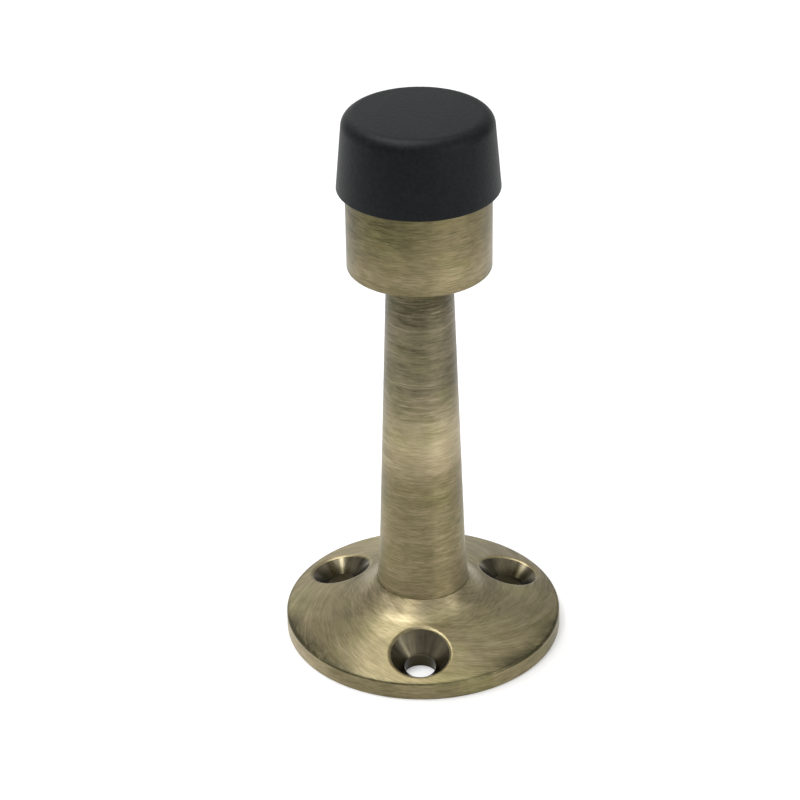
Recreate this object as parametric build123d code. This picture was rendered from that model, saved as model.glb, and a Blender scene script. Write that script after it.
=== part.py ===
from build123d import *
from math import radians, tan
import os

# All lengths are in millimetres and all angles in degrees.
# The back of the rose lies on z = 0 and +Z runs up the stem to the buffer.

# Rose: the round plate against the wall
rose_dia = 38.0
rim_height = 2.5            # rim up to where the sloping face would meet it
rim_edge_chamfer = 0.25
rose_back_chamfer = 0.1
face_slope = 15.4
collar_foot_dia = 16.8      # where the face turns up into the cone of the collar
collar_foot_radius = 4.0    # flare between the two
collar_lip_dia = 12.7
collar_rise = 2.054         # height that the cone climbs to the collar lip

# Screw holes through the sloping face, leaning out so that a driver clears the buffer
hole_count = 3
hole_first_angle = -90.0
hole_circle_dia = 28.0      # measured at the hole mouths, on the face
hole_lean = 10.0
hole_dia = 4.3
countersink_dia = 8.4
countersink_angle = 90.0

# Post: tapered stem with its head, turned in one piece
stem_length = 47.866        # from the collar lip to the underside of the head
stem_foot_dia = 12.45       # flared foot, seated on the collar lip
foot_flare_length = 7.0
foot_chamfer = 0.15         # seen as the fine seam at the collar
stem_base_dia = 11.6        # straight taper from here
stem_neck_dia = 8.69        # to here, under the head
neck_chamfer = 0.4
spigot_dia = 8.0            # locates the foot in the rose
spigot_length = 2.5
spigot_chamfer = 0.3
spigot_clearance = 0.08
spigot_end_gap = 0.2
head_dia = 18.9
head_height = 11.1
head_edge_chamfer = 0.2
head_top_chamfer = 0.25

# Rubber buffer, plugged into the head
buffer_height = 10.22
buffer_base_dia = 21.12
buffer_top_dia = 19.28
buffer_base_chamfer = 0.15
buffer_top_radius = 1.72
plug_dia = 12.0
plug_length = 6.0
plug_bead = 0.5             # how far the holding bead stands out of the plug
plug_bead_width = 1.6
plug_lead_in = 0.4
plug_clearance = 0.1

# Machine screw that holds the post in the rose
screw_dia = 5.0
screw_length = 14.0
screw_head_dia = 9.2
screw_head_rim = 0.3
screw_head_angle = 90.0
screw_sink = 0.3            # head below the back of the rose
screw_tip_chamfer = 0.5
screw_slot_width = 1.2
screw_slot_depth = 1.1
screw_hole_clearance = 0.15
screw_seat_clearance = 0.03
thread_clearance = 0.05
thread_depth = 12.0
drill_point_angle = 118.0

# A cutting tool runs this far past the surface that it opens
tool_overrun = 1.5


def face_height(radius):
    return rim_height + (rose_dia / 2 - radius) * tan(radians(face_slope))


def cone_depth(start_dia, end_dia, angle):
    return (start_dia - end_dia) / 2 / tan(radians(angle / 2))


collar_top = face_height(collar_foot_dia / 2) + collar_rise
spigot_end = collar_top - spigot_length
web_top = spigot_end - spigot_end_gap
head_base = collar_top + stem_length
head_top = head_base + head_height
buffer_top = head_top + buffer_height


def rounded(profile, x, z, radius):
    corner = profile.vertices().sort_by_distance((x, z, 0))[0]
    return fillet(corner, radius)


def chamfered(profile, x, z, length):
    corner = profile.vertices().sort_by_distance((x, z, 0))[0]
    return chamfer(corner, length)


def turned(profile):
    return revolve(Plane.XZ * profile, Axis.Z)


def outline(*points):
    return make_face(Polyline(*points, close=True))


def rose_blank():
    rim = rose_dia / 2
    turn = collar_foot_dia / 2
    lip = collar_lip_dia / 2
    profile = outline(
        (0, 0),
        (rim, 0),
        (rim, rim_height),
        (turn, face_height(turn)),
        (lip, collar_top),
        (0, collar_top),
    )
    profile = rounded(profile, turn, face_height(turn), collar_foot_radius)
    profile = chamfered(profile, rim, rim_height, rim_edge_chamfer)
    profile = chamfered(profile, rim, 0, rose_back_chamfer)
    return turned(profile)


def spigot_recess():
    radius = spigot_dia / 2 + spigot_clearance
    tool = outline(
        (0, web_top),
        (radius, web_top),
        (radius, collar_top + tool_overrun),
        (0, collar_top + tool_overrun),
    )
    return turned(tool)


def back_countersink():
    shank = screw_dia + 2 * screw_hole_clearance
    slant = tan(radians(screw_head_angle / 2))
    mouth = screw_head_dia + 2 * (screw_sink + screw_head_rim) * slant + 2 * screw_seat_clearance
    wide = mouth + 2 * tool_overrun * slant
    throat = cone_depth(mouth, shank, screw_head_angle)
    tool = outline(
        (0, -tool_overrun),
        (wide / 2, -tool_overrun),
        (shank / 2, throat),
        (shank / 2, web_top + tool_overrun),
        (0, web_top + tool_overrun),
    )
    return turned(tool)


def wall_screw_hole():
    # Drawn upright with its mouth at the origin, then leaned out and moved onto the face
    slant = tan(radians(countersink_angle / 2))
    throat = cone_depth(countersink_dia, hole_dia, countersink_angle)
    mouth_height = face_height(hole_circle_dia / 2)
    tool = outline(
        (0, tool_overrun),
        (countersink_dia / 2 + tool_overrun * slant, tool_overrun),
        (hole_dia / 2, -throat),
        (hole_dia / 2, -mouth_height - tool_overrun),
        (0, -mouth_height - tool_overrun),
    )
    return Pos(0, 0, mouth_height) * Rot(0, hole_lean, 0) * turned(tool)


def base_rose():
    rose = rose_blank() - spigot_recess() - back_countersink()
    hole = wall_screw_hole()
    for place in PolarLocations(hole_circle_dia / 2, hole_count, hole_first_angle):
        rose -= place * hole
    return rose


def stem_post():
    spigot = spigot_dia / 2
    foot = stem_foot_dia / 2
    base = stem_base_dia / 2
    neck = stem_neck_dia / 2
    head = head_dia / 2
    base_height = collar_top + foot_flare_length
    taper = Line((neck, head_base), (base, base_height))
    flare = TangentArc((base, base_height), (foot, collar_top), tangent=taper % 1)
    rest = Polyline(
        (foot, collar_top),
        (spigot, collar_top),
        (spigot, spigot_end),
        (0, spigot_end),
        (0, head_top),
        (head, head_top),
        (head, head_base),
        (neck, head_base),
    )
    profile = make_face(taper + flare + rest)
    profile = chamfered(profile, spigot, spigot_end, spigot_chamfer)
    profile = chamfered(profile, foot, collar_top, foot_chamfer)
    profile = chamfered(profile, neck, head_base, neck_chamfer)
    profile = chamfered(profile, head, head_base, head_edge_chamfer)
    profile = chamfered(profile, head, head_top, head_top_chamfer)
    return turned(profile) - buffer_socket() - tapped_hole()


def buffer_socket():
    bore = plug_dia / 2 + plug_clearance
    groove = bore + plug_bead
    shoulder = head_top - plug_length + plug_bead_width + plug_clearance
    floor = head_top - plug_length - plug_clearance
    tool = outline(
        (0, floor),
        (groove, floor),
        (groove, shoulder),
        (bore, shoulder),
        (bore, head_top + tool_overrun),
        (0, head_top + tool_overrun),
    )
    return turned(tool)


def tapped_hole():
    radius = screw_dia / 2 + thread_clearance
    end = spigot_end + thread_depth
    point = cone_depth(2 * radius, 0, drill_point_angle)
    tool = outline(
        (0, spigot_end - tool_overrun),
        (radius, spigot_end - tool_overrun),
        (radius, end),
        (0, end + point),
    )
    return turned(tool)


def rubber_buffer():
    base = buffer_base_dia / 2
    top = buffer_top_dia / 2
    plug = plug_dia / 2
    bead = plug + plug_bead
    end = head_top - plug_length
    profile = outline(
        (0, end),
        (bead, end),
        (bead, end + plug_bead_width),
        (plug, end + plug_bead_width),
        (plug, head_top),
        (base, head_top),
        (top, buffer_top),
        (0, buffer_top),
    )
    profile = chamfered(profile, bead, end, plug_lead_in)
    profile = chamfered(profile, base, head_top, buffer_base_chamfer)
    profile = rounded(profile, top, buffer_top, buffer_top_radius)
    return turned(profile)


def stem_screw():
    shank = screw_dia / 2
    head = screw_head_dia / 2
    rim = screw_sink + screw_head_rim
    throat = rim + cone_depth(screw_head_dia, screw_dia, screw_head_angle)
    tip = screw_sink + screw_length
    profile = outline(
        (0, screw_sink),
        (head, screw_sink),
        (head, rim),
        (shank, throat),
        (shank, tip),
        (0, tip),
    )
    profile = chamfered(profile, shank, tip, screw_tip_chamfer)
    slot = Pos(0, 0, screw_sink) * Box(screw_head_dia + tool_overrun, screw_slot_width, 2 * screw_slot_depth)
    return turned(profile) - slot


os.makedirs("parts", exist_ok=True)
export_step(base_rose(), "parts/base_rose.step")
export_step(stem_post(), "parts/stem_post.step")
export_step(rubber_buffer(), "parts/rubber_buffer.step")
export_step(stem_screw(), "parts/stem_screw.step")
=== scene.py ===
import bpy
import bmesh
from math import asin, cos, exp, hypot, pi, radians, sin, sqrt, tan
from mathutils import Matrix, Vector


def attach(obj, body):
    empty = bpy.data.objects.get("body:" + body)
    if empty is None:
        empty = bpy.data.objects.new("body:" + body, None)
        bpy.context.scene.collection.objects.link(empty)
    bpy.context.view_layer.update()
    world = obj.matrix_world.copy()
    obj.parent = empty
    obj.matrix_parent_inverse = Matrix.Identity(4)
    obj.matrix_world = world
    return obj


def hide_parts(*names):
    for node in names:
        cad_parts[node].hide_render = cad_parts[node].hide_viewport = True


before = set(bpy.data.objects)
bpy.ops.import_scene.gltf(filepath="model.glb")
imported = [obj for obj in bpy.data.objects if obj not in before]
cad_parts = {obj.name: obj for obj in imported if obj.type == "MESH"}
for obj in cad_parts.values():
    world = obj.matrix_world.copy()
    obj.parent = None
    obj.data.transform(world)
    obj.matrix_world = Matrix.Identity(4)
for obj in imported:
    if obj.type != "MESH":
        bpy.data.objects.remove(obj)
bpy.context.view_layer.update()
mm = 0.001
sharpAngle = 20     # degrees, corners past this are broken with a small bevel
creaseAngle = 32    # degrees, edges past this are shaded sharp
touching = 1e-7     # metres, points this close count as one
print("frame loaded:", ", ".join(sorted(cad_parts)))


# half sections are drawn in the XZ plane as radius and height, then spun about Z

def penDown(bm, r, z):
    return bm.verts.new((r * mm, 0, z * mm))


def lineTo(bm, tip, *points):
    for r, z in points:
        tip = bmesh.ops.extrude_vert_indiv(bm, verts=[tip])["verts"][0]
        tip.co = (r * mm, 0, z * mm)
    return tip


def arcTo(bm, tip, r, z, heading, steps):
    # arc from the tip to a point, leaving the tip along the heading
    run = Vector((r * mm, 0, z * mm)) - tip.co
    ahead = Vector((heading[0], 0, heading[1])).normalized()
    turn = 1 if ahead.x * run.z < ahead.z * run.x else -1
    side = Vector((ahead.z, 0, -ahead.x)) * turn
    radius = run.length_squared / (2 * run.dot(side))
    sweep = 2 * asin(run.length / (2 * radius))
    made = bmesh.ops.spin(bm, geom=[tip], cent=tip.co + side * radius, axis=(0, 1, 0), dvec=(0, 0, 0),
                          angle=turn * sweep, steps=steps, use_merge=False, use_duplicate=False)
    return [v for v in made["geom_last"] if isinstance(v, bmesh.types.BMVert)][0]


def spinRound(bm, steps):
    bmesh.ops.spin(bm, geom=bm.verts[:] + bm.edges[:], cent=(0, 0, 0), axis=(0, 0, 1), dvec=(0, 0, 0),
                   angle=2 * pi, steps=steps, use_merge=True, use_duplicate=False)
    closeUp(bm)


def closeUp(bm):
    bmesh.ops.remove_doubles(bm, verts=bm.verts, dist=touching)
    bmesh.ops.recalc_face_normals(bm, faces=bm.faces)


def roundOff(bm, geom, width, segments, affect="EDGES", clamp=False):
    made = bmesh.ops.bevel(bm, geom=geom, offset=width * mm, offset_type="OFFSET", segments=segments,
                           profile=0.5, affect=affect, material=-1, clamp_overlap=clamp)
    return made["faces"]


def atSeam(edge):
    # the joint of rose and post stays a fine line
    return all(abs(v.co.z - rose["lipHeight"] * mm) < rose["seamBand"] * mm
               and v.co.xy.length > rose["outside"] * mm for v in edge.verts)


def isSharp(edge):
    return len(edge.link_faces) == 2 and edge.calc_face_angle() > radians(sharpAngle)


def softenEdges(bm, width):
    # breaks every sharp corner, as handling and polishing do
    sharp = [e for e in bm.edges if isSharp(e) and not atSeam(e)]
    roundOff(bm, sharp, width, segments=3, clamp=True)


def makePiece(name, bm, materials, node):
    closeUp(bm)
    for face in bm.faces:
        face.smooth = face.normal.z > -0.9999   # all but flat undersides
    for edge in bm.edges:
        edge.smooth = len(edge.link_faces) == 2 and edge.calc_face_angle() < radians(creaseAngle)
    loose = sum(1 for e in bm.edges if not e.is_manifold)
    mesh = bpy.data.meshes.new(name)
    bm.to_mesh(mesh)
    bm.free()
    piece = bpy.data.objects.new(name, mesh)
    bpy.context.collection.objects.link(piece)
    for material in materials:
        mesh.materials.append(material)
    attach(piece, "root")
    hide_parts(node)
    print(name, "faces", len(mesh.polygons), "open edges", loose)


# shader helpers

def newShader(name):
    material = bpy.data.materials.new(name)
    material.use_nodes = True
    tree = material.node_tree
    return material, tree, tree.nodes["Principled BSDF"]


def feed(tree, node, values):
    # each socket gets a link or a fixed value
    for key, value in values.items():
        if isinstance(value, bpy.types.NodeSocket):
            tree.links.new(value, node.inputs[key])
        else:
            node.inputs[key].default_value = value


def addNode(tree, kind, values=None, **settings):
    node = tree.nodes.new(kind)
    for key, value in settings.items():
        setattr(node, key, value)
    feed(tree, node, values or {})
    return node


def calc(tree, operation, a, b=0.0, c=0.0):
    return addNode(tree, "ShaderNodeMath", {0: a, 1: b, 2: c}, operation=operation).outputs[0]


def times(tree, a, b):
    return calc(tree, "MULTIPLY", a, b)


def minus(tree, a, b):
    return calc(tree, "SUBTRACT", a, b)


def addTimes(tree, total, a, b):
    return calc(tree, "MULTIPLY_ADD", a, b, total)


def weigh(tree, *parts):
    # patterns added up by their weights
    total = 0.0
    for pattern, weight in parts:
        total = addTimes(tree, total, pattern, weight)
    return total


def mixValue(tree, factor, a, b):
    return addNode(tree, "ShaderNodeMix", {0: factor, 2: a, 3: b}, data_type="FLOAT").outputs[0]


def vectorCalc(tree, operation, values):
    return addNode(tree, "ShaderNodeVectorMath", values, operation=operation).outputs[0]


def ramp(tree, factor, stops, interpolation="LINEAR"):
    node = addNode(tree, "ShaderNodeValToRGB", {"Fac": factor})
    band = node.color_ramp
    band.interpolation = interpolation
    while len(band.elements) < len(stops):
        band.elements.new(0.5)
    for element, (place, colour) in zip(band.elements, stops):
        element.position = place
        element.color = (*colour, 1.0)
    return node.outputs["Color"]


def fade(tree, value, span, outLow=0.0, outHigh=1.0, unit=1.0):
    low, high = span
    values = {"Value": value, "From Min": low * unit, "From Max": high * unit,
              "To Min": outLow, "To Max": outHigh}
    node = addNode(tree, "ShaderNodeMapRange", values, interpolation_type="SMOOTHSTEP")
    return node.outputs["Result"]


def fadeMm(tree, value, span, outLow=0.0, outHigh=1.0):
    return fade(tree, value, span, outLow, outHigh, mm)


def window(tree, value, rise, fall):
    # 1 between the two stretches, fading out over each of them
    return times(tree, fadeMm(tree, value, rise), fadeMm(tree, value, fall, 1.0, 0.0))


def joinXyz(tree, x, y, z):
    return addNode(tree, "ShaderNodeCombineXYZ", {"X": x, "Y": y, "Z": z}).outputs[0]


def splitXyz(tree, vector):
    return addNode(tree, "ShaderNodeSeparateXYZ", {0: vector}).outputs


def objectPlace(tree):
    return addNode(tree, "ShaderNodeTexCoord").outputs["Object"]


def axisRadius(tree, x, y):
    flat = joinXyz(tree, x, y, 0.0)
    return addNode(tree, "ShaderNodeVectorMath", {0: flat}, operation="LENGTH").outputs["Value"]


def axisAngle(tree, x, y):
    return calc(tree, "ARCTAN2", y, x)


def noise(tree, vector, scale, detail=2.0, roughness=0.5):
    values = {"Vector": vector, "Scale": scale, "Detail": detail, "Roughness": roughness}
    return addNode(tree, "ShaderNodeTexNoise", values).outputs["Fac"]


def streaks(tree, x, y, z, scales, detail=2.0, roughness=0.5):
    # noise drawn out into lines: x and y share one scale and z has the other
    around, along = scales
    place = joinXyz(tree, times(tree, x, around), times(tree, y, around), times(tree, z, along))
    return noise(tree, place, 1.0, detail, roughness)


rose = dict(
    rim=19.0, rimHeight=2.5, rimRound=0.25, rimSegments=6, slope=15.4, backChamfer=0.1,
    flareStart=9.421, flareRound=4.0, flareEnd=7.652, flareEndHeight=6.169, flareSteps=10,
    lip=6.35, lipHeight=7.474, recess=4.08, web=4.774,
    screwHole=2.65, screwThroat=2.58, screwMouth=5.23,
    holeCircle=14.0, holeLean=10.0, holeAngles=(-90, 30, 150), hole=2.15,
    mouth=4.32,             # a little wider than the solid's 4.2, because its edge is rounded off
    mouthLand=0.36,         # flat ring round each mouth, which its rounding is cut from
    mouthRound=0.30, mouthSegments=5,
    mouthClear=0.12,        # the face is cleared this much wider than the flat ring
    softEdge=0.07,
    outside=6.0,            # faces further out than this show when the post is on
    seamBand=0.06,          # corners this close to the joint with the post stay sharp
    steps=240, faceBands=26, holeSteps=96,
)


# antique brass: dark olive in the hollows of the brushing, paler where it is rubbed
# a tone of 0 is all dark finish and 1 all pale metal, and spans of places are in mm

brass = dict(
    dark=(0.070, 0.062, 0.029),
    middle=(0.250, 0.209, 0.114),
    pale=(0.520, 0.434, 0.280),
    lacquerRoughness=0.22,
    lineDepth=0.03,
    seamSpan=(0.05, 0.60), seamDark=0.16,
    greenTint=(0.93, 0.98, 0.85, 1.0),
    greyTint=(0.98, 1.0, 1.17, 1.0), greyFrom=(30, 40), greyTo=(51, 55),
)


def seamDirtAndShade(tree, place, distance):
    # dark finish left in patches along the joint of rose and post, partly painted contact shade in the joint
    patch = fade(tree, noise(tree, place, 330.0, 4.0, 0.6), (0.46, 0.70))
    return times(tree, patch, fadeMm(tree, distance, brass["seamSpan"], brass["seamDark"], 0.0))


def brassColour(tree, place, z, tone, toneStops):
    colours = (brass["dark"], brass["middle"], brass["pale"])
    colour = ramp(tree, tone, list(zip(toneStops, colours)))
    # the dark finish turns green where it lies thick, and is greyer up the stem
    patch = fade(tree, noise(tree, place, 150.0, 2.0, 0.5), (0.45, 0.75))
    upper = window(tree, z, brass["greyFrom"], brass["greyTo"])
    for amount, tint in ((patch, brass["greenTint"]), (upper, brass["greyTint"])):
        values = {0: amount, 6: colour, 7: tint}
        colour = addNode(tree, "ShaderNodeMix", values, data_type="RGBA", blend_type="MULTIPLY").outputs[2]
    return colour


def lacquer(tree, shader, weight):
    feed(tree, shader, {"Coat Weight": weight, "Coat Roughness": brass["lacquerRoughness"]})


def brushMetal(tree, shader, finish, lines, colour, tangent):
    # the brush lines show in the roughness, in a fine bump and in the way that the shine spreads
    spread = finish["roughnessSpread"]
    rough = calc(tree, "MULTIPLY_ADD", lines, spread, finish["roughness"] - spread / 2)
    values = {"Height": lines, "Strength": finish["bump"], "Distance": brass["lineDepth"] * mm}
    bump = addNode(tree, "ShaderNodeBump", values).outputs[0]
    feed(tree, shader, {
        "Metallic": 1.0, "Base Color": colour, "Roughness": rough,
        "Anisotropic": finish["anisotropy"], "Tangent": tangent, "Normal": bump,
    })
    lacquer(tree, shader, finish["lacquer"])


roseFinish = dict(
    toneStops=(0.26, 0.49, 0.74), lacquer=0.20,
    roughness=0.40, roughnessSpread=0.14, anisotropy=0.72, bump=0.22,
    strokes=0.42, broadStrokes=0.22, cloud=0.36,
    spiralPitch=2.5,        # how fast the brush strokes turn as they run outwards
    swayTurn=0.10, swayOut=0.7,
    fanScales=(40.0, 1300.0), fanBroadScales=(9.0, 330.0), ringScales=(560.0, 4600.0),
    fanFrom=(10.5, 13.8),   # the lines run round inside this and fan out beyond it
    shineFrom=(9.5, 15.0), shineLean=(88, 67),
    collarSpan=(7.8, 9.4), collarPale=0.08,
    # dark finish along the rim, by radians from the front hole and by mm in from the edge
    rimFrom=(0.30, 0.80), rimTo=(1.25, 1.60), rimSpan=(0.4, 2.8), rimDark=0.19,
    edgeSpan=(0.15, 0.55), edgeDark=0.12,
)


def fromFirstHole(tree, angle):
    return minus(tree, angle, radians(rose["holeAngles"][0]))


def rimShade(tree, place, radius, angle):
    # dark finish left along the rim on both sides of the front hole
    finish = roseFinish
    edge = minus(tree, rose["rim"] * mm, radius)
    patch = fade(tree, noise(tree, place, 240.0, 4.0, 0.65), (0.28, 0.56))
    away = calc(tree, "ABSOLUTE", fromFirstHole(tree, angle))
    aside = times(tree, fade(tree, away, finish["rimFrom"]), fade(tree, away, finish["rimTo"], 1.0, 0.0))
    band = fadeMm(tree, edge, finish["rimSpan"], finish["rimDark"], 0.0)
    band = times(tree, times(tree, patch, aside), band)
    return calc(tree, "ADD", band, fadeMm(tree, edge, finish["edgeSpan"], finish["edgeDark"], 0.0))


def shineDirection(tree, x, y, radius):
    # across the brush lines, which run round at the collar and fan out beyond it
    start, end = roseFinish["shineLean"]
    lean = fadeMm(tree, radius, roseFinish["shineFrom"], radians(start), radians(end))
    outward = vectorCalc(tree, "NORMALIZE", {0: joinXyz(tree, x, y, 0.0)})
    around = vectorCalc(tree, "CROSS_PRODUCT", {0: (0, 0, 1), 1: outward})
    across = vectorCalc(tree, "SCALE", {0: outward, "Scale": calc(tree, "SINE", lean)})
    along = vectorCalc(tree, "SCALE", {0: around, "Scale": calc(tree, "COSINE", lean)})
    return vectorCalc(tree, "SUBTRACT", {0: across, 1: along})


def roseBrass():
    finish = roseFinish
    material, tree, shader = newShader("rose brushed brass")
    place = objectPlace(tree)
    x, y, z = splitXyz(tree, place)
    radius = axisRadius(tree, x, y)
    angle = axisAngle(tree, x, y)
    # strokes fan out along a spiral and waver a little
    climb = calc(tree, "LOGARITHM", calc(tree, "DIVIDE", radius, rose["holeCircle"] * mm), exp(1))
    turns = times(tree, climb, finish["spiralPitch"])
    sway = minus(tree, noise(tree, place, 300.0, 2.0, 0.5), 0.5)
    spiral = addTimes(tree, minus(tree, angle, turns), sway, finish["swayTurn"])
    swayed = addTimes(tree, radius, sway, finish["swayOut"] * mm)
    fanX = calc(tree, "COSINE", spiral)
    fanY = calc(tree, "SINE", spiral)
    fan = streaks(tree, fanX, fanY, radius, finish["fanScales"], 4.0, 0.7)
    broad = streaks(tree, fanX, fanY, radius, finish["fanBroadScales"])
    rings = streaks(tree, x, y, swayed, finish["ringScales"], 4.0, 0.7)
    lines = mixValue(tree, fadeMm(tree, radius, finish["fanFrom"]), rings, fan)
    cloud = noise(tree, place, 140.0, 3.0, 0.6)
    tone = weigh(tree, (cloud, finish["cloud"]), (broad, finish["broadStrokes"]), (lines, finish["strokes"]))
    # the collar stands proud, so it is rubbed paler than the face
    tone = calc(tree, "ADD", tone, fadeMm(tree, radius, finish["collarSpan"], finish["collarPale"], 0.0))
    # dark finish and painted contact shade along the joint with the post
    tone = minus(tree, tone, seamDirtAndShade(tree, place, minus(tree, radius, rose["lip"] * mm)))
    tone = minus(tree, tone, rimShade(tree, place, radius, angle))
    colour = brassColour(tree, place, z, tone, finish["toneStops"])
    brushMetal(tree, shader, finish, lines, colour, shineDirection(tree, x, y, radius))
    return material


turnedFinish = dict(
    toneStops=(0.22, 0.48, 0.78), lacquer=0.06,
    roughness=0.44, roughnessSpread=0.14, anisotropy=0.72, bump=0.20,
    fineMarks=0.52, broadMarks=0.20, cloud=0.28,
    fineScales=(560.0, 5600.0), broadScales=(130.0, 1100.0), scoreScales=(110.0, 2400.0),
    # how pale the post is by height along it: partly dark finish rubbed through, partly painted reflection
    # of the floor in bands on the stem and painted shade on the head under the buffer
    wearAndPaintedLight=((0, 0.42), (2, 0.43), (7, 0.50), (11, 0.50), (18, 0.48), (23, 0.40), (28, 0.61), (33, 0.70),
            (39, 0.30), (47, 0.46), (53, 0.16), (56, 0.50), (59, 0.44), (66, 0.33)),
    # painted light and shade on one side, by places across the object
    rimOut=(18.3, 18.7), rimUp=(2.6, 3.0), rimAcross=(-17.0, -9.0), rimPaintedLight=(0.19, 0.0),
    middleFrom=(24, 30), middleTo=(34, 39), middleAcross=(-4.2, 0.4), middlePaintedShade=(-0.11, 0.02),
    headUp=(54.5, 56.0), headAcross=(-6.0, 6.0), headPaintedLight=(-0.035, 0.050),
    scoreBright=0.09, scoreDark=-0.05, scoreFrom=(18, 36), scoreTo=(50, 55),
)


def paintedSideLight(tree, x, z, radius):
    # painted light and shade: the left of the rim wall lighter, the left of the middle of the stem darker,
    # and the head darker on the left and lighter on the right
    finish = turnedFinish
    rimWall = times(tree, fadeMm(tree, radius, finish["rimOut"]), fadeMm(tree, z, finish["rimUp"], 1.0, 0.0))
    middle = window(tree, z, finish["middleFrom"], finish["middleTo"])
    head = fadeMm(tree, z, finish["headUp"])
    return weigh(tree, (fadeMm(tree, x, finish["rimAcross"], *finish["rimPaintedLight"]), rimWall),
                 (fadeMm(tree, x, finish["middleAcross"], *finish["middlePaintedShade"]), middle),
                 (fadeMm(tree, x, finish["headAcross"], *finish["headPaintedLight"]), head))


def turnedScores(tree, x, y, z):
    # single scores left by the turning, some bright and some filled with the dark finish
    finish = turnedFinish
    rings = streaks(tree, x, y, z, finish["scoreScales"], 1.0)
    bright = fade(tree, rings, (0.58, 0.72), 0.0, finish["scoreBright"])
    dark = fade(tree, rings, (0.28, 0.42), finish["scoreDark"], 0.0)
    onStem = times(tree, fadeMm(tree, z, finish["scoreFrom"], 0.2, 1.0),
                   fadeMm(tree, z, finish["scoreTo"], 1.0, 0.15))
    return times(tree, calc(tree, "ADD", bright, dark), onStem)


def turnedBrass():
    finish = turnedFinish
    material, tree, shader = newShader("turned brass")
    place = objectPlace(tree)
    x, y, z = splitXyz(tree, place)
    radius = axisRadius(tree, x, y)
    # turning marks follow the height up the walls and the radius across flat faces
    along = calc(tree, "ADD", z, radius)
    fine = streaks(tree, x, y, along, finish["fineScales"], 3.0, 0.7)
    broad = streaks(tree, x, y, along, finish["broadScales"])
    cloud = noise(tree, place, 170.0, 3.0, 0.6)
    grain = weigh(tree, (cloud, finish["cloud"]), (broad, finish["broadMarks"]), (fine, finish["fineMarks"]))
    low, high = finish["wearAndPaintedLight"][0][0], finish["wearAndPaintedLight"][-1][0]
    height = calc(tree, "DIVIDE", minus(tree, z, low * mm), (high - low) * mm)
    stops = [((h - low) / (high - low), (v, v, v)) for h, v in finish["wearAndPaintedLight"]]
    # wear, with painted reflection bands on the stem and painted shade under the buffer, by height
    wearAndPaintedLight = ramp(tree, height, stops, "B_SPLINE")
    tone = calc(tree, "ADD", grain, minus(tree, wearAndPaintedLight, 0.5))
    # painted light and shade on the sides of the rim wall, the stem and the head
    tone = calc(tree, "ADD", tone, paintedSideLight(tree, x, z, radius))
    tone = calc(tree, "ADD", tone, turnedScores(tree, x, y, z))
    fromSeam = calc(tree, "ABSOLUTE", minus(tree, z, rose["lipHeight"] * mm))
    # dark finish and painted contact shade along the joint with the rose
    tone = minus(tree, tone, seamDirtAndShade(tree, place, fromSeam))
    colour = brassColour(tree, place, z, tone, finish["toneStops"])
    around = addNode(tree, "ShaderNodeTangent", direction_type="RADIAL", axis="Z").outputs[0]
    brushMetal(tree, shader, finish, fine, colour, around)
    shader.inputs["Anisotropic Rotation"].default_value = 0.25   # a quarter turn, across the marks
    return material


cutFinish = dict(
    colours=((0.15, (0.036, 0.030, 0.014)), (0.35, (0.078, 0.067, 0.040)), (0.65, (0.152, 0.132, 0.087))),
    roughness=0.24, lacquer=0.12,
    streaks=0.65, stain=0.35,
    streakStretch=60.0,     # how fast a streak changes down the wall
    boreSpan=(1.6, 2.6), borePaintedShade=0.28,
)


def cutBrass():
    # countersinks and bores, with the streaks of the cutter running down their walls
    finish = cutFinish
    material, tree, shader = newShader("cut brass")
    place = objectPlace(tree)
    x, y, z = splitXyz(tree, place)
    radius = axisRadius(tree, x, y)
    # angle round the nearest hole's own centre
    share = pi / len(rose["holeAngles"])
    swing = calc(tree, "WRAP", fromFirstHole(tree, axisAngle(tree, x, y)), share, -share)
    outward = minus(tree, times(tree, radius, calc(tree, "COSINE", swing)), rose["holeCircle"] * mm)
    spoke = calc(tree, "ARCTAN2", times(tree, radius, calc(tree, "SINE", swing)), outward)
    wallPlace = joinXyz(tree, calc(tree, "COSINE", spoke), calc(tree, "SINE", spoke),
                        times(tree, z, finish["streakStretch"]))
    cutterStreaks = noise(tree, wallPlace, 7.0, 3.0, 0.6)
    stain = noise(tree, place, 420.0, 3.0, 0.6)
    tone = weigh(tree, (stain, finish["stain"]), (cutterStreaks, finish["streaks"]))
    # painted shade, darker down in the bore
    tone = times(tree, tone, fadeMm(tree, z, finish["boreSpan"], finish["borePaintedShade"], 1.0))
    feed(tree, shader, {"Metallic": 1.0, "Base Color": ramp(tree, tone, finish["colours"]),
                        "Roughness": finish["roughness"]})
    lacquer(tree, shader, finish["lacquer"])
    return material


rubberFinish = dict(
    colours=((0.25, (0.0015, 0.0019, 0.0022)), (0.75, (0.0110, 0.0122, 0.0128))),
    grain=0.8, cloud=0.2, roughness=0.47, shine=0.15, shineTint=(0.88, 0.96, 1.0, 1.0),
    bump=0.65, grainDepth=0.06,
)


def mouldedRubber():
    finish = rubberFinish
    material, tree, shader = newShader("moulded rubber")
    place = objectPlace(tree)
    grain = noise(tree, place, 1800.0, 3.0, 0.65)
    cloud = noise(tree, place, 160.0, 2.0, 0.5)
    tone = weigh(tree, (cloud, finish["cloud"]), (grain, finish["grain"]))
    values = {"Height": grain, "Strength": finish["bump"], "Distance": finish["grainDepth"] * mm}
    bump = addNode(tree, "ShaderNodeBump", values).outputs[0]
    feed(tree, shader, {
        "Base Color": ramp(tree, tone, finish["colours"]), "Roughness": finish["roughness"],
        "Specular IOR Level": finish["shine"], "Specular Tint": finish["shineTint"], "Normal": bump,
    })
    return material


zincFinish = dict(colours=((0.3, (0.46, 0.46, 0.44)), (0.7, (0.62, 0.62, 0.60))), roughness=0.34)


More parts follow.
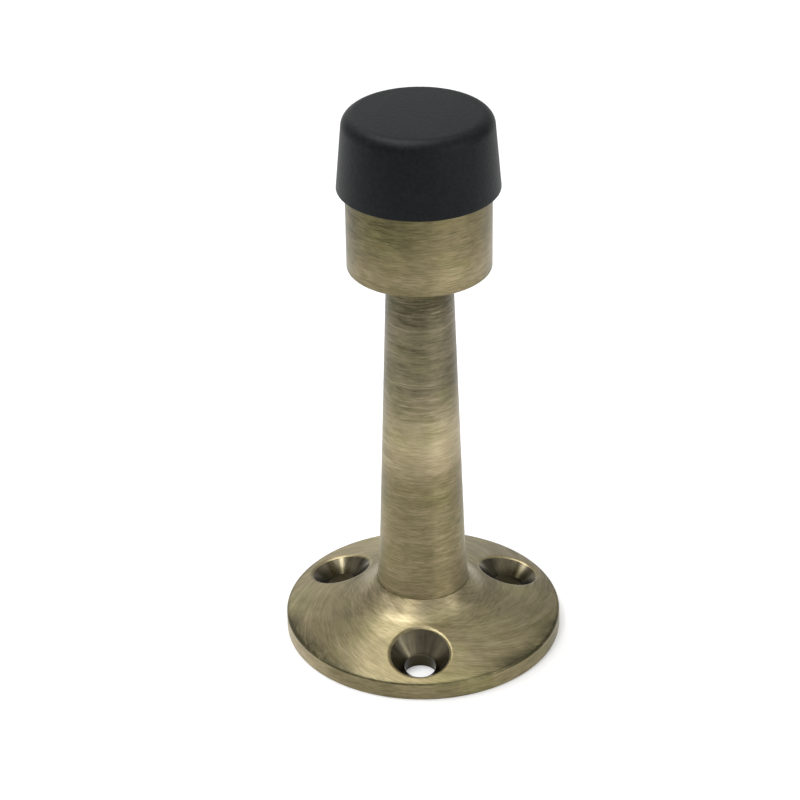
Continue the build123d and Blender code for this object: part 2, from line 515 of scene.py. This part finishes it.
def zincPlate():
    finish = zincFinish
    material, tree, shader = newShader("zinc plate")
    mottle = noise(tree, objectPlace(tree), 900.0, 2.0, 0.5)
    feed(tree, shader, {"Metallic": 1.0, "Base Color": ramp(tree, mottle, finish["colours"]),
                        "Roughness": finish["roughness"]})
    return material


roseMaterial = roseBrass()
turnedMaterial = turnedBrass()
cutMaterial = cutBrass()
rubberMaterial = mouldedRubber()
zincMaterial = zincPlate()
print("materials made")


def faceHeight(r):
    # height of the rose's face and flare, both in metres
    slope = radians(rose["slope"])
    bend = rose["flareRound"]
    start = max(r / mm, rose["flareStart"])
    climb = max(r / mm, rose["flareEnd"])
    height = rose["rimHeight"] + (rose["rim"] - start) * tan(slope)
    if climb < start:
        # up the arc of the flare
        height += bend * cos(slope) - sqrt(bend ** 2 - (start + bend * sin(slope) - climb) ** 2)
    return height * mm


def isOnFace(face):
    # no steeper than the foot of the flare, and no more than 0.01 mm off the height worked out above
    middle = face.calc_center_median()
    return face.normal.z > 0.85 and abs(faceHeight(middle.xy.length) - middle.z) < 0.01 * mm


def slideToFace(vert, direction):
    # each step closes most of the gap that is left
    for step in range(16):
        vert.co += direction * (faceHeight(hypot(vert.co.x, vert.co.y)) - vert.co.z)


def coneReach(point, centre, axis):
    # how wide a countersink would be, level with the centre, if its wall ran through the point
    offset = point - centre
    return offset.cross(axis).length - offset.dot(axis)


def ringEdges(bm, verts):
    return [e for e in bm.edges if e.verts[0] in verts and e.verts[1] in verts]


def holeRing(bm, radius, depth, place):
    made = bmesh.ops.create_circle(bm, segments=rose["holeSteps"], radius=radius * mm,
                                   matrix=place @ Matrix.Translation((0, 0, -depth * mm)))
    return set(made["verts"])


def bridgeRings(bm, one, other):
    return bmesh.ops.bridge_loops(bm, edges=ringEdges(bm, one) + ringEdges(bm, other))["faces"]


def clearFace(bm, centre, axis, reach):
    # takes away the face round a mouth and gives the edges of the gap
    near = [f for f in bm.faces if isOnFace(f)
            and min(coneReach(v.co, centre, axis) for v in f.verts) < reach * mm]
    bmesh.ops.delete(bm, geom=near, context="FACES")
    openEdges = [e for e in bm.edges if e.is_boundary]
    # the back is still open too, so its edges are left out
    return [e for e in openEdges if e.verts[0].co.z > rose["backChamfer"] * mm]


def openHole(bm, angle):
    circle = rose["holeCircle"] * mm
    place = (Matrix.Rotation(radians(angle), 4, "Z")
             @ Matrix.Translation((circle, 0, faceHeight(circle)))
             @ Matrix.Rotation(radians(rose["holeLean"]), 4, "Y"))
    centre = place.translation
    axis = (place.to_3x3() @ Vector((0, 0, 1))).normalized()
    landRadius = rose["mouth"] + rose["mouthLand"]
    border = clearFace(bm, centre, axis, landRadius + rose["mouthClear"])
    # rings down the hole: land, mouth, throat and the open end at the back
    land = holeRing(bm, landRadius, 0, place)
    mouth = holeRing(bm, rose["mouth"], 0, place)
    for ring, radius in ((land, landRadius), (mouth, rose["mouth"])):
        # along the wall of a 90 degree cone, up or down to the sloping face
        tip = centre - axis * radius * mm
        for vert in ring:
            slideToFace(vert, (vert.co - tip).normalized())
    throat = holeRing(bm, rose["hole"], rose["mouth"] - rose["hole"], place)
    end = holeRing(bm, rose["hole"], rose["mouth"], place)
    for vert in end:
        vert.co -= axis * (vert.co.z / axis.z)
    bmesh.ops.triangle_fill(bm, use_beauty=True, use_dissolve=False,
                            edges=border + ringEdges(bm, land), normal=(0, 0, 1))
    bridgeRings(bm, land, mouth)
    walls = bridgeRings(bm, mouth, throat) + bridgeRings(bm, throat, end)
    for face in walls:
        face.material_index = 2
    for face in roundOff(bm, ringEdges(bm, mouth), rose["mouthRound"], rose["mouthSegments"]):
        face.material_index = 0


def makeRose():
    bm = bmesh.new()
    slope = tan(radians(rose["slope"]))
    faceStart = faceHeight(rose["flareStart"] * mm) / mm
    tip = penDown(bm, rose["rim"] - rose["backChamfer"], 0)
    shoulder = lineTo(bm, tip, (rose["rim"], rose["backChamfer"]), (rose["rim"], rose["rimHeight"]))
    tip = lineTo(bm, shoulder, (rose["flareStart"], faceStart))
    tip = arcTo(bm, tip, rose["flareEnd"], rose["flareEndHeight"], (-1, slope), rose["flareSteps"])
    lineTo(bm, tip,
           (rose["lip"], rose["lipHeight"]),
           (rose["recess"], rose["lipHeight"]),
           (rose["recess"], rose["web"]),
           (rose["screwHole"], rose["web"]),
           (rose["screwHole"], rose["screwThroat"]),
           (rose["screwMouth"], 0))
    roundOff(bm, [shoulder], rose["rimRound"], rose["rimSegments"], affect="VERTICES")
    faceEdge = max(bm.edges, key=lambda e: e.calc_length())
    bmesh.ops.subdivide_edges(bm, edges=[faceEdge], cuts=rose["faceBands"] - 1)
    spinRound(bm, rose["steps"])
    softenEdges(bm, rose["softEdge"])
    for face in bm.faces:
        brushed = face.normal.z > 0.1 and face.calc_center_median().xy.length > rose["outside"] * mm
        face.material_index = 0 if brushed else 1
    for angle in rose["holeAngles"]:
        openHole(bm, angle)
    # flat back, with the screw holes and the countersink left open
    back = [e for e in bm.edges if e.is_boundary]
    made = bmesh.ops.triangle_fill(bm, use_beauty=True, use_dissolve=False, edges=back, normal=(0, 0, -1))
    for face in made["geom"]:
        if isinstance(face, bmesh.types.BMFace):
            face.material_index = 1
    materials = [roseMaterial, turnedMaterial, cutMaterial]
    makePiece("brassRose", bm, materials, "base_rose")


makeRose()


post = dict(
    tapped=2.55, tappedEnd=16.974, drillPoint=59.0, spigot=4.0, spigotEnd=4.974, spigotChamfer=0.3,
    foot=6.27, footHeight=7.474, footChamfer=0.04, base=5.8, baseHeight=14.474, flareSteps=10,
    neck=4.345, neckChamfer=0.4, head=9.45, headBase=55.34, headTop=66.44, headEdge=0.2, headTopEdge=0.25,
    socket=6.1, groove=6.6, grooveTop=62.14, floor=60.34,
    softEdge=0.06, steps=240,
)


def makePost():
    bm = bmesh.new()
    taper = (post["base"] - post["neck"]) / (post["headBase"] - post["baseHeight"])
    tip = penDown(bm, 0, post["tappedEnd"] + post["tapped"] / tan(radians(post["drillPoint"])))
    tip = lineTo(bm, tip,
                 (post["tapped"], post["tappedEnd"]),
                 (post["tapped"], post["spigotEnd"]),
                 (post["spigot"] - post["spigotChamfer"], post["spigotEnd"]),
                 (post["spigot"], post["spigotEnd"] + post["spigotChamfer"]),
                 (post["spigot"], post["footHeight"]),
                 (post["foot"] - post["footChamfer"], post["footHeight"]))
    # the flare is drawn from the taper down to the foot, then the rest of the outline goes on upwards
    flareTop = penDown(bm, post["base"], post["baseHeight"])
    flareEnd = arcTo(bm, flareTop, post["foot"], post["footHeight"] + post["footChamfer"],
                     (taper, -1), post["flareSteps"])
    bm.edges.new((tip, flareEnd))
    lineTo(bm, flareTop,
           (post["neck"] + taper * post["neckChamfer"], post["headBase"] - post["neckChamfer"]),
           (post["neck"] + post["neckChamfer"], post["headBase"]),
           (post["head"] - post["headEdge"], post["headBase"]),
           (post["head"], post["headBase"] + post["headEdge"]),
           (post["head"], post["headTop"] - post["headTopEdge"]),
           (post["head"] - post["headTopEdge"], post["headTop"]),
           (post["socket"], post["headTop"]),
           (post["socket"], post["grooveTop"]),
           (post["groove"], post["grooveTop"]),
           (post["groove"], post["floor"]),
           (0, post["floor"]))
    spinRound(bm, post["steps"])
    softenEdges(bm, post["softEdge"])
    makePiece("brassPost", bm, [turnedMaterial], "stem_post")


makePost()


buffer = dict(
    plug=6.0, bead=6.5, leadIn=0.4, plugEnd=60.44, beadTop=62.04,
    base=10.56, baseHeight=66.44, baseChamfer=0.15, top=9.64, topHeight=76.66,
    topRound=1.72,
    topRoundRun=0.93,       # how far the round runs along both sides, as a share of its radius
    topSegments=12, softEdge=0.06, steps=240,
)


def makeBuffer():
    bm = bmesh.new()
    tip = penDown(bm, 0, buffer["plugEnd"])
    lineTo(bm, tip,
           (buffer["bead"] - buffer["leadIn"], buffer["plugEnd"]),
           (buffer["bead"], buffer["plugEnd"] + buffer["leadIn"]),
           (buffer["bead"], buffer["beadTop"]),
           (buffer["plug"], buffer["beadTop"]),
           (buffer["plug"], buffer["baseHeight"]),
           (buffer["base"] - buffer["baseChamfer"], buffer["baseHeight"]),
           (buffer["base"], buffer["baseHeight"] + buffer["baseChamfer"]),
           (buffer["top"], buffer["topHeight"]),
           (0, buffer["topHeight"]))
    shoulder = max(bm.verts, key=lambda v: v.co.x + v.co.z)
    width = buffer["topRound"] * buffer["topRoundRun"]
    roundOff(bm, [shoulder], width, buffer["topSegments"], affect="VERTICES")
    spinRound(bm, buffer["steps"])
    softenEdges(bm, buffer["softEdge"])
    makePiece("rubberBuffer", bm, [rubberMaterial], "rubber_buffer")


makeBuffer()


screw = dict(
    sink=0.3, head=4.6, rim=0.6, throat=2.7, shank=2.5, tip=14.3, tipChamfer=0.5,
    slotWidth=1.2, slotDepth=1.1,
    core=2.08, runOut=0.3, pitch=0.8, threadStart=4.9, threadTop=13.9, threadSink=0.1,
    # where the crest starts and ends and the ridge ends, as shares of the pitch
    crestStart=0.42, crestEnd=0.52, ridgeEnd=0.94,
    steps=96, threadSteps=36,
)


def cutSlot(bm):
    # the head is cut along both walls and the floor of the slot, cleared between them and walled again
    half = screw["slotWidth"] / 2 * mm
    floor = (screw["sink"] + screw["slotDepth"]) * mm

    def atSide(vert, side):
        return abs(vert.co.y - side) < touching

    def atFloor(vert):
        return abs(vert.co.z - floor) < touching

    for point, normal in (((0, half, 0), (0, 1, 0)), ((0, -half, 0), (0, 1, 0)), ((0, 0, floor), (0, 0, 1))):
        everything = bm.verts[:] + bm.edges[:] + bm.faces[:]
        bmesh.ops.bisect_plane(bm, geom=everything, plane_co=point, plane_no=normal, dist=touching / 10)
    middles = [(f, f.calc_center_median()) for f in bm.faces]
    inside = [f for f, middle in middles if abs(middle.y) < half and middle.z < floor]
    bmesh.ops.delete(bm, geom=inside, context="FACES")
    for side in (half, -half):
        ends = [v for v in bm.verts if v.is_boundary and atSide(v, side) and atFloor(v)]
        bmesh.ops.contextual_create(bm, geom=ends)
        wall = [e for e in bm.edges if len(e.link_faces) < 2 and all(atSide(v, side) for v in e.verts)]
        bmesh.ops.contextual_create(bm, geom=wall)
    bottom = [e for e in bm.edges if len(e.link_faces) < 2 and all(atFloor(v) for v in e.verts)]
    bmesh.ops.contextual_create(bm, geom=bottom)


def windThread(bm):
    # a ridge wound up the shank, sunk a little into its core
    start, pitch = screw["threadStart"], screw["pitch"]
    turns = int((screw["threadTop"] - start) / pitch)
    root = screw["core"] - screw["threadSink"]
    low = penDown(bm, root, start)
    high = lineTo(bm, low,
                  (screw["shank"], start + pitch * screw["crestStart"]),
                  (screw["shank"], start + pitch * screw["crestEnd"]),
                  (root, start + pitch * screw["ridgeEnd"]))
    bmesh.ops.contextual_create(bm, geom=[low, high])
    outline = [e for e in bm.edges if not e.link_faces]
    section = bmesh.ops.contextual_create(bm, geom=outline)["faces"]
    steps = screw["threadSteps"] * turns
    bmesh.ops.spin(bm, geom=section, cent=(0, 0, 0), axis=(0, 0, 1), dvec=(0, 0, pitch * turns / steps * mm),
                   angle=2 * pi * turns, steps=steps, use_merge=False, use_duplicate=False)


def makeScrew():
    bm = bmesh.new()
    tip = penDown(bm, 0, screw["sink"])
    lineTo(bm, tip,
           (screw["head"], screw["sink"]),
           (screw["head"], screw["rim"]),
           (screw["shank"], screw["throat"]),
           (screw["shank"], screw["threadStart"] - screw["runOut"]),
           (screw["core"], screw["threadStart"]),
           (screw["core"], screw["tip"] - screw["tipChamfer"]),
           (screw["core"] - screw["tipChamfer"], screw["tip"]),
           (0, screw["tip"]))
    spinRound(bm, screw["steps"])
    cutSlot(bm)
    windThread(bm)
    makePiece("stemScrew", bm, [zincMaterial], "stem_screw")


makeScrew()


studio = dict(
    cameraPlace=(0.010176, -0.292550, 0.201121), cameraTurn=2.538, cameraTilt=60.471, cameraRoll=-0.882,
    lens=113.63,
    floorSize=6.0, floorDrop=0.01, floorColour=(0.84, 0.84, 0.84, 1.0),
    floorLift=0.28, farLift=0.70, farSpan=(0.15, 0.70),     # the span in metres from the object
    worldDiffuse=0.36,
    # how bright the tent's walls look in the metal, by degrees round from the camera, right side positive
    walls=((-180, 0.76), (-160, 1.10), (-120, 0.32), (-88, 0.90), (-55, 0.46), (-15, 0.46), (0, 0.48),
           (15, 0.66), (35, 1.28), (62, 1.10), (80, 0.58), (102, 0.26), (125, 0.30), (155, 0.58),
           (180, 0.62)),
    roof=(0.55, 0.84),      # from its left side to its right
    roofAcross=(-0.6, 0.6), roofUp=(0.45, 0.85),
)


def seenRays(tree):
    # camera, glossy and transmission rays see the plain white surroundings
    rays = addNode(tree, "ShaderNodeLightPath").outputs
    both = calc(tree, "MAXIMUM", rays["Is Camera Ray"], rays["Is Glossy Ray"])
    return calc(tree, "MAXIMUM", both, rays["Is Transmission Ray"])


def makeFloor():
    bm = bmesh.new()
    bmesh.ops.create_grid(bm, x_segments=1, y_segments=1, size=studio["floorSize"] / 2,
                          matrix=Matrix.Translation((0, 0, -studio["floorDrop"] * mm)))
    mesh = bpy.data.meshes.new("floor")
    bm.to_mesh(mesh)
    bm.free()
    floor = bpy.data.objects.new("floor", mesh)
    bpy.context.collection.objects.link(floor)
    material, tree, shader = newShader("floor white")
    x, y = splitXyz(tree, objectPlace(tree))[:2]
    # stays white out where the lamps no longer reach
    lift = fade(tree, axisRadius(tree, x, y), studio["farSpan"], studio["floorLift"], studio["farLift"])
    feed(tree, shader, {
        "Base Color": studio["floorColour"], "Roughness": 1.0, "Specular IOR Level": 0.0,
        "Emission Color": (1, 1, 1, 1), "Emission Strength": times(tree, seenRays(tree), lift),
    })
    mesh.materials.append(material)


def makeWorld():
    world = bpy.data.worlds.new("studio")
    bpy.context.scene.world = world
    world.use_nodes = True
    tree = world.node_tree
    rays = addNode(tree, "ShaderNodeLightPath").outputs
    look = splitXyz(tree, addNode(tree, "ShaderNodeTexCoord").outputs["Generated"])
    bearing = calc(tree, "ARCTAN2", look["X"], times(tree, look["Y"], -1.0))
    bearing = calc(tree, "MULTIPLY_ADD", bearing, 0.5 / pi, 0.5)
    walls = ramp(tree, bearing, [((a + 180) / 360, (v, v, v)) for a, v in studio["walls"]], "EASE")
    roof = fade(tree, look["X"], studio["roofAcross"], *studio["roof"])
    tent = mixValue(tree, fade(tree, look["Z"], studio["roofUp"]), walls, roof)
    strength = mixValue(tree, rays["Is Glossy Ray"], studio["worldDiffuse"], tent)
    plain = calc(tree, "MAXIMUM", rays["Is Camera Ray"], rays["Is Transmission Ray"])
    strength = mixValue(tree, plain, strength, 1.0)
    feed(tree, tree.nodes["Background"], {"Color": (1, 1, 1, 1), "Strength": strength})


lamps = dict(
    key=dict(place=(-0.165, -0.154, 0.506), aim=(0, 0, 0.02), size=(0.10, 0.10), power=0.42),
    overhead=dict(place=(-0.10, 0.05, 0.50), aim=(0, 0, 0.02), size=(0.26, 0.34), power=1.75),
    sideLow=dict(place=(0.425, -0.185, 0.20), aim=(0, 0, 0.03), size=(0.10, 0.16), power=0.28),
    frontStrip=dict(place=(0.35, -0.42, 0.14), aim=(0, 0, 0.03), size=(0.10, 0.28), power=0.16),
)


def addLamp(name, place, aim, size, power):
    light = bpy.data.lights.new(name, "AREA")
    light.shape = "RECTANGLE"
    light.size, light.size_y = size
    light.energy = power
    lamp = bpy.data.objects.new(name, light)
    lamp.location = place
    lamp.rotation_euler = (Vector(aim) - Vector(place)).to_track_quat("-Z", "Y").to_euler()
    bpy.context.collection.objects.link(lamp)


def addCamera():
    lens = bpy.data.cameras.new("photo view")
    lens.lens = studio["lens"]
    lens.sensor_width = 36.0
    lens.clip_start = 0.005
    camera = bpy.data.objects.new("photo view", lens)
    camera.matrix_world = (Matrix.Translation(studio["cameraPlace"])
                           @ Matrix.Rotation(radians(studio["cameraTurn"]), 4, "Z")
                           @ Matrix.Rotation(radians(studio["cameraTilt"]), 4, "X")
                           @ Matrix.Rotation(radians(studio["cameraRoll"]), 4, "Z"))
    bpy.context.collection.objects.link(camera)
    bpy.context.scene.camera = camera


makeFloor()
makeWorld()
for name, lamp in lamps.items():
    addLamp(name, **lamp)
addCamera()
bpy.context.scene.view_settings.view_transform = "Standard"
print("studio set")
